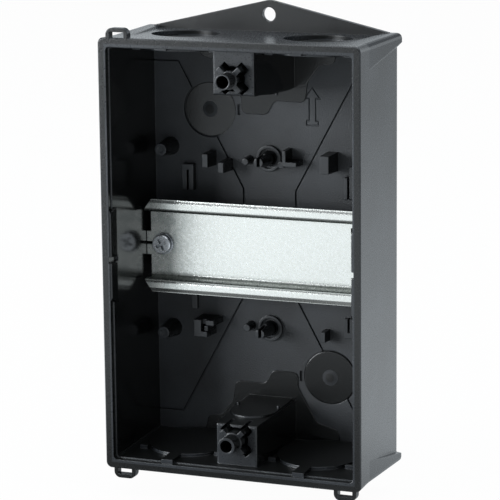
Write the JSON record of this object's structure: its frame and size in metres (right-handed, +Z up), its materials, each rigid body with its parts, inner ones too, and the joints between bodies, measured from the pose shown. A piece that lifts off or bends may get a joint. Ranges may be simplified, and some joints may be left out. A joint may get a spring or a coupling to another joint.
{
  "type": "rail-mount enclosure base",
  "caption": "Open rectangular plastic enclosure base with a top-hat mounting rail across it, fixing lugs, cover screw towers and closed cable knock-outs.",
  "frame": {"origin": "middle of the flat rear face, which lies against the wall", "axes": "+Z up as the box hangs on the wall, +Y into the wall, the open front looks along -Y"},
  "size_m": [0.101, 0.0486, 0.1812],
  "materials": {
    "housing_plastic": "fine moulded texture",
    "galvanised_steel": "bright zinc",
    "screw_zinc": "bright zinc"
  },
  "bodies": {
    "root": {"enclosure_base": "housing_plastic", "mounting_rail": "galvanised_steel", "rail_screw": "screw_zinc"}
  },
  "joints": []
}
